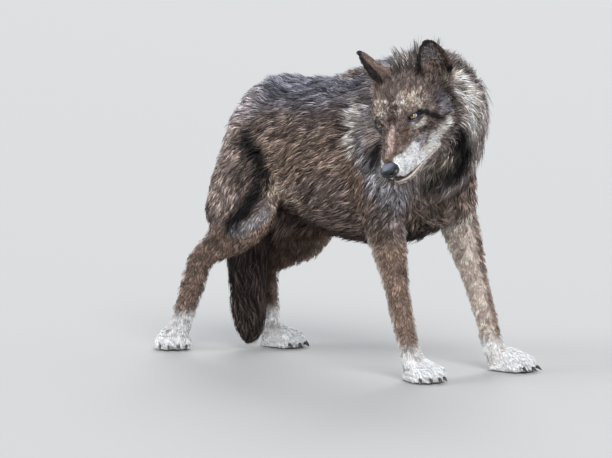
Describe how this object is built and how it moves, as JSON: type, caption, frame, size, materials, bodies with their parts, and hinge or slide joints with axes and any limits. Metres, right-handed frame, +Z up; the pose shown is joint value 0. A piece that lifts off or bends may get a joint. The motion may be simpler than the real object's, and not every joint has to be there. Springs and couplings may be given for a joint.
{
  "type": "timber wolf",
  "caption": "Timber wolf in a dark winter coat, a still life-size model that stands on splayed legs with its head turned to the right.",
  "frame": {"origin": "middle of the model's footprint, on the floor under the paws", "axes": "+X towards the wolf's front, +Y to its left, +Z up"},
  "size_m": [1.0138, 0.555, 0.8165],
  "materials": {
    "dark_coat": "coarse dark winter fur",
    "grey_coat": "grizzled grey-brown fur",
    "white_coat": "short white fur",
    "nose_skin": "moist black nose skin",
    "eye": "wet amber eye",
    "horn": "dark worn claw"
  },
  "bodies": {
    "root": {"ear_left": "dark_coat", "ear_right": "dark_coat", "eye_left": "eye", "eye_right": "eye", "front_left_claw_1": "horn", "front_left_claw_2": "horn", "front_left_claw_3": "horn", "front_left_claw_4": "horn", "front_left_lower": "grey_coat", "front_left_paw": "white_coat", "front_left_upper": "dark_coat", "front_right_claw_1": "horn", "front_right_claw_2": "horn", "front_right_claw_3": "horn", "front_right_claw_4": "horn", "front_right_lower": "grey_coat", "front_right_paw": "white_coat", "front_right_upper": "dark_coat", "head": "grey_coat", "hind_left_claw_1": "horn", "hind_left_claw_2": "horn", "hind_left_claw_3": "horn", "hind_left_claw_4": "horn", "hind_left_lower": "grey_coat", "hind_left_paw": "white_coat", "hind_left_upper": "dark_coat", "hind_right_claw_1": "horn", "hind_right_claw_2": "horn", "hind_right_claw_3": "horn", "hind_right_claw_4": "horn", "hind_right_lower": "grey_coat", "hind_right_paw": "white_coat", "hind_right_upper": "dark_coat", "lower_jaw": "grey_coat", "neck": "grey_coat", "nose": "nose_skin", "tail": "dark_coat", "trunk": "dark_coat"}
  },
  "joints": []
}
